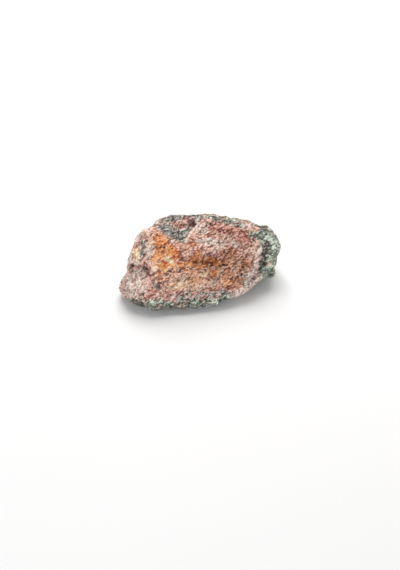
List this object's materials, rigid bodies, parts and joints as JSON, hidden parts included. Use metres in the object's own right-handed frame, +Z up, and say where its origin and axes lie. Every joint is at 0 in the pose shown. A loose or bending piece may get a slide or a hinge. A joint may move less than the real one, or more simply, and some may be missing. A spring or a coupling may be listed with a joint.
{
  "type": "rough rock",
  "caption": "Rough hand-sized rock, an angular natural stone with a chipped top, a lobe at one end and a flat underside it rests on.",
  "frame": {"origin": "a point of the flat resting face, under the middle of the rock", "axes": "+X along the rock's length towards its lumpy end, +Y towards its steep back, +Z up"},
  "size_m": [0.0805, 0.0525, 0.0314],
  "materials": {
    "stone": "rough broken rock, salmon pink and red grains with grey-green, pale mint and rust-orange patches"
  },
  "bodies": {
    "root": {"stone": "stone"}
  },
  "joints": []
}
